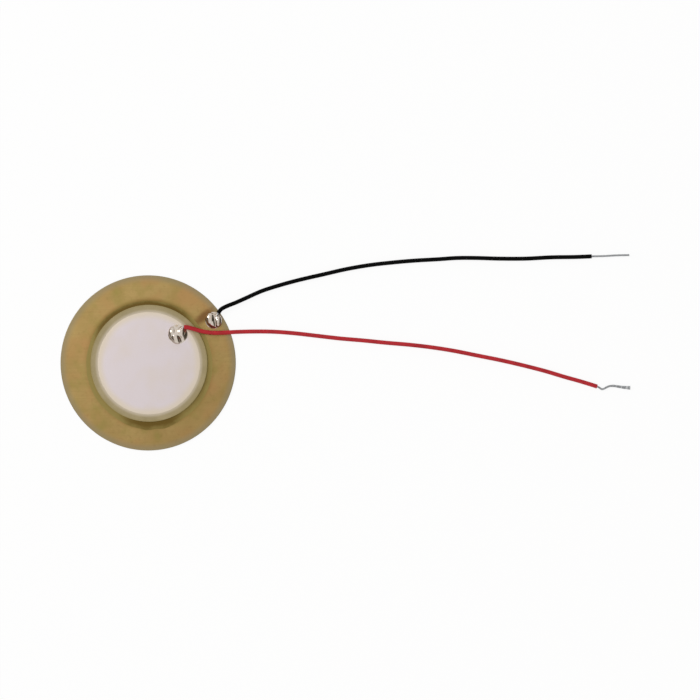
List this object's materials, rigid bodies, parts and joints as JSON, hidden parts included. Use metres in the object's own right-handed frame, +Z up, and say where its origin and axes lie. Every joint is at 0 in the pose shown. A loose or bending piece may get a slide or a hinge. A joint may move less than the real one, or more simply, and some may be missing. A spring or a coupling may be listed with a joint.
{
  "type": "piezo disc",
  "caption": "Flat round brass piezo disc with a silvered ceramic face and soldered red and black stranded leads, for a sounder, contact pickup or knock sensor.",
  "frame": {"origin": "centre of the brass plate's lower face, which lies on the table", "axes": "+Z up through the stack from the brass to the ceramic, +X in the plane of the disc towards the leads' stripped ends"},
  "size_m": [0.0878, 0.0303, 0.0013],
  "materials": {
    "brass": "rolled and stamped, lightly tarnished",
    "epoxy": "olive brown squeezed-out adhesive",
    "silver": "fired silver paste, matte",
    "ceramic": "unglazed, matte",
    "solder": "bright reflowed solder",
    "tinned_copper": "tinned copper strands",
    "black_pvc": "extruded insulation, satin",
    "red_pvc": "extruded insulation, satin"
  },
  "bodies": {
    "root": {"brass_plate": "brass", "bond_layer": "epoxy", "lower_electrode": "silver", "ceramic_disc": "ceramic", "upper_electrode": "silver", "brass_solder_joint": "solder", "electrode_solder_joint": "solder", "black_lead": "black_pvc", "black_lead_tail": "tinned_copper", "black_lead_tip": "tinned_copper", "red_lead": "red_pvc", "red_lead_tail": "tinned_copper", "red_lead_tip": "tinned_copper"}
  },
  "joints": []
}
